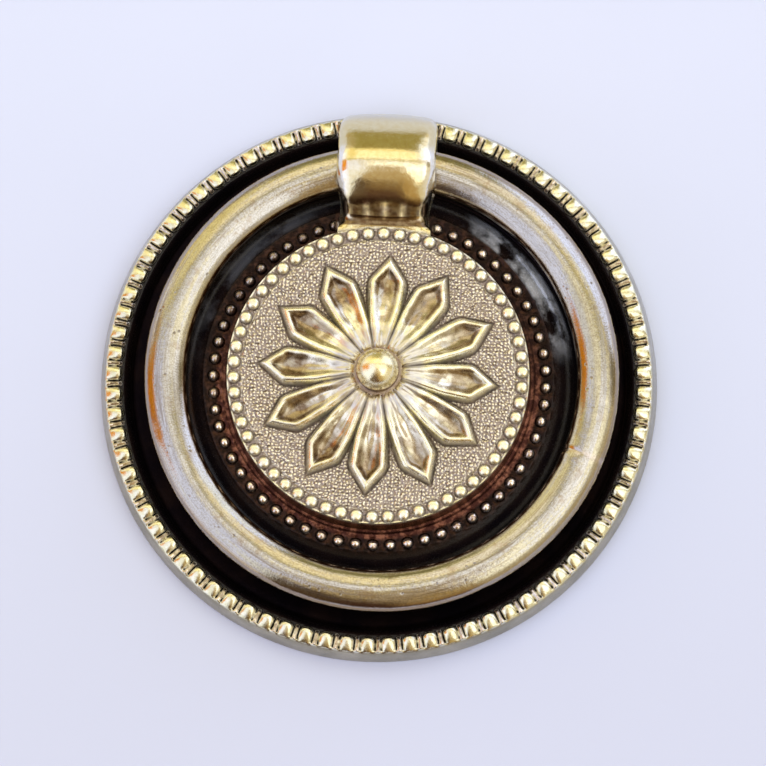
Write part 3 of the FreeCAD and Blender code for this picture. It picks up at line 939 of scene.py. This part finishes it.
# painted reflection: a bluish-pale patch on the black slope, mostly upper right, where a window would be reflected
turn = np.degrees(a)
turn = step(turn, 22.0, 42.0) * (1.0 - step(turn, 68.0, 84.0)) + 0.11 * step(turn, 270.0, 300.0) * (1.0 - step(turn, 325.0, 345.0))
put(plate, "painted_window_gloss", step(r, 18.75, 19.0) * (1.0 - step(r, 20.7, 21.3)) * turn * on_front)
is_back = np.where((facing < -0.3) | ((r < 29.2) & (dep < np.interp(r, [0, 18.6, 19.7, 20.3, 20.7, 26.3, 27.5, 28.3, 28.7, 29.1],
                                                                  [4.0, 3.9, 3.3, 2.2, 0.5, 0.5, 1.2, 1.9, 1.6, 0.3]))), 1.0, 0.0)
put(plate, "backside", is_back)
plate.data.materials.append(surface("plate_finish", None, None, None, spec=0.27)(plate_nodes))
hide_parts("backplate")
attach(plate, "plate")

casting = build_casting()
co, no, _ = vertex_arrays(casting)
r = np.hypot(co[:, 0], co[:, 2])
a = np.arctan2(co[:, 0], co[:, 2]) % TAU
dep = -co[:, 1]
facing = -no[:, 1]
rel = relief(casting, (3, 12))
d, rho, s, idx = petal_field(r, a)
is_knuckle = np.where((co[:, 2] > 16.25) | ((r > 16.27) & (co[:, 2] > 12) & (dep > 4.5)), 1.0, 0.0)
front_disc = np.where((r < 16.25) & (dep > 6.6), 1.0, 0.0) * (1 - is_knuckle)
ground = front_disc * (1.0 - step(d, -0.25, -0.08)) * step(r, 5.2, 6.2) * (1.0 - step(r, 14.62, 14.78))
cup = front_disc * step(d, 0.50, 0.85) * step(rho, 4.4, 6.4)
# painted shade: darker colour towards the outer end of each petal's hollow
hollow_shade = front_disc * step(d, 0.46, 0.80) * step(rho, 6.8, 9.4) * (1.0 - step(rho, 11.0, 12.0))
hollow_shade_side = 0.5 + 0.5 * np.cos(a - math.radians(292.0))     # painted shade in the hollows is stronger on this side
put(casting, "hollow_shade", np.clip(hollow_shade * (0.45 + 0.35 * hashed(idx % PETALS, 3.0, 31.0) + 0.75 * hollow_shade_side), 0, 1))
# painted reflections: the neck under the knuckle's lip is painted dark, with pale dashes where the edge beads would be
# reflected
neck_reflection = is_knuckle * (1.0 - step(co[:, 2], 18.5, 19.3)) * step(co[:, 2], 16.25, 16.45) * np.where(dep > 6.5, 1, 0)
put(casting, "neck_reflection", neck_reflection)
nb = (a - np.round(a / (TAU / EDGE_BEADS)) * (TAU / EDGE_BEADS)) * r
put(casting, "bead_reflection_dashes", neck_reflection * np.exp(-(nb / 0.27) ** 2) * step(co[:, 2], 16.9, 17.3) * (1.0 - step(co[:, 2], 18.3, 18.8)))
kx, kz = np.abs(co[:, 0]), co[:, 2]
# painted highlights: paler metal along the knuckle's rounded side corners and a faint band across its front
knuckle_highlight = step(kx, 3.7, 4.5) * step(kz, 18.6, 19.6) * (1.0 - step(kz, 23.6, 25.2))
knuckle_highlight = np.maximum(knuckle_highlight, 0.30 * step(kz, 21.2, 21.9) * (1.0 - step(kz, 22.9, 23.3)))
put(casting, "knuckle_highlight", knuckle_highlight * is_knuckle * step(dep, 6.0, 7.5))
pitch = TAU / EDGE_BEADS
bs = (a - np.round(a / pitch) * pitch) * r
bq = np.sqrt(bs ** 2 + (r - 15.48) ** 2)
between = front_disc * step(r, 14.62, 14.78) * (1.0 - step(r, 15.98, 16.08)) * step(bq, 0.60, 0.68)
ground = np.maximum(ground, between)
put(casting, "proud", step(rel[3], 0.006, 0.035))
# patina in the recesses plus painted shade: darker in deep recesses, a soft painted shadow round the petals' outlines
# and a painted contact shadow round the edge beads
deep = step(-rel[12], 0.03, 0.16) * (1.0 - 0.75 * ground)
line = np.exp(-((d + 0.14) / np.where(d < -0.14, 0.27, 0.14)) ** 2) * step(r, 2.6, 3.4) * (1.0 - step(r, 13.6, 14.2))
# painted shadow: dark brown round the foot of the centre ball
ball_foot_shade_mask = np.where(r < 2.5, 1.0, np.exp(-((r - 2.5) / 0.55) ** 2)) * (1.0 - step(dep, 9.0, 9.3)) * front_disc
put(casting, "ball_foot_shade", ball_foot_shade_mask)
# painted contact shadow round the foot of each edge bead
beadring = step(bq, 0.53, 0.62) * (1.0 - 0.75 * step(bq, 0.68, 0.80)) * step(r, 14.6, 14.75)
patina_and_shade = np.clip(np.maximum.reduce([deep, 0.82 * line, 0.75 * beadring]), 0, 1) * front_disc
put(casting, "patina_and_shade", patina_and_shade)
put(casting, "ground", ground)
put(casting, "cup", cup)
put(casting, "centre", front_disc * step(r, 2.8, 3.3) * (1.0 - step(r, 4.4, 5.6)))
put(casting, "clean", (1.0 - step(r, 2.24, 2.36)) * step(dep, 8.95, 9.2) * front_disc + is_knuckle * step(dep, 4.6, 7.0))
side = np.where((r > 16.19) & (r < 16.6) & (co[:, 2] < 16.2) & (dep > 4.3), 1.0, 0.0) * (1.0 - step(dep, 6.3, 6.9))
side = np.maximum(side, is_knuckle * (1.0 - step(dep, 2.4, 4.6)) * 0.8)
put(casting, "side", side)
put(casting, "ball", (1.0 - step(r, 2.24, 2.40)) * step(dep, 8.95, 9.2) * front_disc)
put(casting, "crest", is_knuckle * step(kz, 27.4, 28.7) * step(dep, 2.5, 4.0))
put(casting, "backside", np.where((r < 6.0) & (dep < 4.5), 1.0, 0.0))
casting.data.materials.append(surface("casting_finish", None, None, None)(casting_nodes))
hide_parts("rosette_casting")
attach(casting, "plate")

ring = build_ring()
ring.data.materials.append(surface("ring_finish", None, None, None)(ring_nodes))
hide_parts("pull_ring")
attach(ring, "ring")

# ---------------------------------------------------------------------- stage
# pale wall behind the plate; its opening is covered by the plate
seg = 192
wall_co, wall_faces = [], []
for rad in (29.6, 60.0, 250.0, 3000.0):
    for k in range(seg):
        w = TAU * k / seg
        wall_co.append((rad * math.sin(w) * MM, 0.03 * MM, rad * math.cos(w) * MM))
for i in range(3):
    for k in range(seg):
        j = (k + 1) % seg
        wall_faces.append((i * seg + k, (i + 1) * seg + k, (i + 1) * seg + j, i * seg + j))
wm = bpy.data.meshes.new("pale_wall")
wm.from_pydata(wall_co, [], wall_faces)
wall = bpy.data.objects.new("pale_wall", wm)
bpy.context.scene.collection.objects.link(wall)
wm.update()
if wm.polygons[0].normal.y > 0:
    wm.flip_normals()
mat = bpy.data.materials.new("pale_wall_paint_and_shade")
mat.use_nodes = True
n = Nodes(mat.node_tree)
wall_paint_and_shade = n.mix(n.span(n.noise(9.0, 4.0, 0.6), 0.3, 0.7), (0.66, 0.715, 0.89), (0.685, 0.74, 0.92))
split = n.new("ShaderNodeSeparateXYZ")
n.plug(split.inputs[0], n.place())
# painted shade: the wall darker towards the bottom
wall_paint_and_shade = n.mix(n.span(split.outputs[2], -0.045, 0.045, 1.0, 0.0), wall_paint_and_shade, (0.60, 0.64, 0.795))
p = n.new("ShaderNodeBsdfPrincipled")
n.plug(p.inputs["Base Color"], wall_paint_and_shade)
p.inputs["Roughness"].default_value = 0.75
clear = n.new("ShaderNodeBsdfTransparent")
geo = n.new("ShaderNodeNewGeometry")
pick = n.new("ShaderNodeMixShader")
n.t.links.new(geo.outputs["Backfacing"], pick.inputs[0])
n.t.links.new(p.outputs[0], pick.inputs[1])
n.t.links.new(clear.outputs[0], pick.inputs[2])
out = n.new("ShaderNodeOutputMaterial")
n.t.links.new(pick.outputs[0], out.inputs[0])
wm.materials.append(mat)

# light: a soft room made of broad bright and dim fields
world = bpy.data.worlds.new("soft_room")
bpy.context.scene.world = world
world.use_nodes = True
n = Nodes(world.node_tree)
gen = n.new("ShaderNodeTexCoord").outputs["Generated"]
sep = n.new("ShaderNodeSeparateXYZ")
n.plug(sep.inputs[0], gen)
dx, dy, dz = sep.outputs
deg = 57.29578
rho = n.math("MULTIPLY", n.math("ARCCOSINE", n.math("MULTIPLY", dy, -1.0)), deg)
flat = n.math("MAXIMUM", n.math("SQRT", n.math("ADD", n.math("MULTIPLY", dx, dx), n.math("MULTIPLY", dz, dz))), 1e-5)
mu = n.math("MULTIPLY", rho, n.math("DIVIDE", dx, flat))      # degrees to the right of straight ahead
mv = n.math("MULTIPLY", rho, n.math("DIVIDE", dz, flat))      # degrees up
down = n.math("MULTIPLY", n.math("ARCTAN2", dx, n.math("MULTIPLY", dz, -1.0)), deg)


def field(room, color, u0, u1, v0, v1, soft=3.0, tilt=0.0):
    """A soft-edged patch of the room; tilt slants its upper and lower edges."""
    v = n.math("SUBTRACT", mv, n.math("MULTIPLY", mu, tilt)) if tilt else mv
    f = n.math("MULTIPLY", n.band(mu, u0, u1, soft), n.band(v, v0, v1, soft))
    return n.mix(f, room, color)


room = n.mix(n.span(mv, -25.0, 20.0), (0.66, 0.58, 0.42), (0.72, 0.62, 0.42))
room = field(room, (0.88, 0.82, 0.70), -62.0, 50.0, -12.0, 19.0, 1.5)
room = field(room, (1.04, 0.89, 0.44), -66.0, 8.0, 23.0, 60.0, 2.0)
room = field(room, (0.98, 0.88, 0.64), -84.0, -44.0, 20.0, 46.0, 3.0)
room = field(room, (1.32, 1.16, 0.80), -24.0, 24.0, 23.0, 48.0, 2.0)
room = field(room, (1.00, 0.98, 0.96), -112.0, -60.0, 24.0, 42.0, 2.0)
room = field(room, (0.34, 0.285, 0.10), -30.0, 30.0, 55.0, 118.0, 2.0)
room = field(room, (0.44, 0.37, 0.20), -96.0, -30.0, 66.0, 118.0, 2.5)
room = field(room, (0.56, 0.46, 0.15), -60.0, 26.0, 17.0, 22.0, 0.8, -0.05)
room = field(room, (0.88, 0.88, 0.99), -48.0, -14.0, -12.0, 16.0, 2.5)
# windows: upper right, lower right, left
room = field(room, (1.20, 1.27, 1.50), 24.0, 80.0, 27.0, 74.0, 1.5)
room = field(room, (0.26, 0.20, 0.09), 52.0, 84.0, 11.0, 24.0, 1.2)
room = field(room, (1.36, 1.30, 1.14), -7.0, 42.0, -5.0, 12.0, 1.5)
lower = n.math("MULTIPLY", n.span(n.math("ABSOLUTE", n.math("SUBTRACT", down, 67.0)), 32.0, 36.0, 1.0, 0.0),
               n.band(rho, 9.0, 53.0, 2.0))
room = n.mix(lower, room, (1.48, 1.43, 1.28))
left = n.math("MULTIPLY", n.span(n.math("ABSOLUTE", n.math("ADD", down, 61.0)), 26.0, 28.0, 1.0, 0.0),
              n.span(rho, 14.0, 18.0))
room = n.mix(left, room, (0.96, 0.97, 1.07))
room = field(room, (0.60, 0.44, 0.20), -135.0, -49.0, 12.0, 26.0, 2.0)
room = field(room, (0.74, 0.265, 0.020), -150.0, -46.0, -8.0, 19.0, 0.8)
# the viewer: a dark shape, narrow at the top
shape = n.math("MULTIPLY", n.band(down, -34.0, 31.0, 1.5), n.span(mv, -10.0, -6.5, 1.0, 0.0))
head = n.math("SQRT", n.math("ADD", n.math("POWER", n.math("DIVIDE", mu, 7.5), 2.0),
                             n.math("POWER", n.math("DIVIDE", n.math("ADD", mv, 6.0), 9.0), 2.0)))
shape = n.math("MAXIMUM", shape, n.span(head, 0.88, 1.08, 1.0, 0.0))
skin = n.mix(n.span(rho, 26.0, 46.0), (0.50, 0.38, 0.22), (0.22, 0.14, 0.065))
skin = n.mix(n.span(rho, 50.0, 60.0), skin, (0.085, 0.042, 0.027))
skin = n.mix(n.math("MULTIPLY", n.span(down, 6.0, 10.0), n.span(rho, 92.0, 70.0)), skin, (0.46, 0.31, 0.13))
skin = n.mix(n.math("MULTIPLY", n.span(down, -14.0, -10.0, 1.0, 0.0), n.span(rho, 36.0, 42.0)), skin, (0.12, 0.08, 0.05))
room = n.mix(shape, room, skin)
behind = n.span(dy, -0.02, 0.08)
room = n.mix(behind, room, (0.62, 0.63, 0.68))
see = n.new("ShaderNodeLightPath").outputs["Is Camera Ray"]
room = n.mix(see, room, (0.574, 0.607, 0.672))
cool = n.new("ShaderNodeVectorMath", operation="MULTIPLY")
n.plug(cool.inputs[0], room)
cool.inputs[1].default_value = (1.175, 1.255, 1.50)
fill = n.new("ShaderNodeLightPath").outputs["Is Diffuse Ray"]
room = n.mix(fill, room, cool.outputs[0])
bg = n.new("ShaderNodeBackground")
n.plug(bg.inputs[0], room)
bg.inputs[1].default_value = 1.22
out = n.new("ShaderNodeOutputWorld")
n.t.links.new(bg.outputs[0], out.inputs[0])

# camera, slightly below the handle and turned a little
cam_data = bpy.data.cameras.new("camera")
cam = bpy.data.objects.new("camera", cam_data)
bpy.context.scene.collection.objects.link(cam)
th, ps, roll, dist = math.radians(11.3), math.radians(1.4), math.radians(2.4), 0.700
back_dir = Vector((math.sin(ps) * math.cos(th), -math.cos(ps) * math.cos(th), -math.sin(th)))
right = Vector((0, 0, 1)).cross(back_dir).normalized()
up = back_dir.cross(right)
xc = right * math.cos(roll) + up * math.sin(roll)
yc = up * math.cos(roll) - right * math.sin(roll)
m = Matrix((xc, yc, back_dir)).transposed().to_4x4()
m.translation = back_dir * dist
cam.matrix_world = m
cam_data.sensor_width = 36.0
cam_data.lens = 36.0 * 9.26 * 700.0 / 766.0
cam_data.shift_x = 4.0 / 766.0
cam_data.shift_y = 4.5 / 766.0
cam_data.clip_start = 0.01
cam_data.clip_end = 20.0
bpy.context.scene.camera = cam

bpy.context.scene.view_settings.view_transform = "Standard"
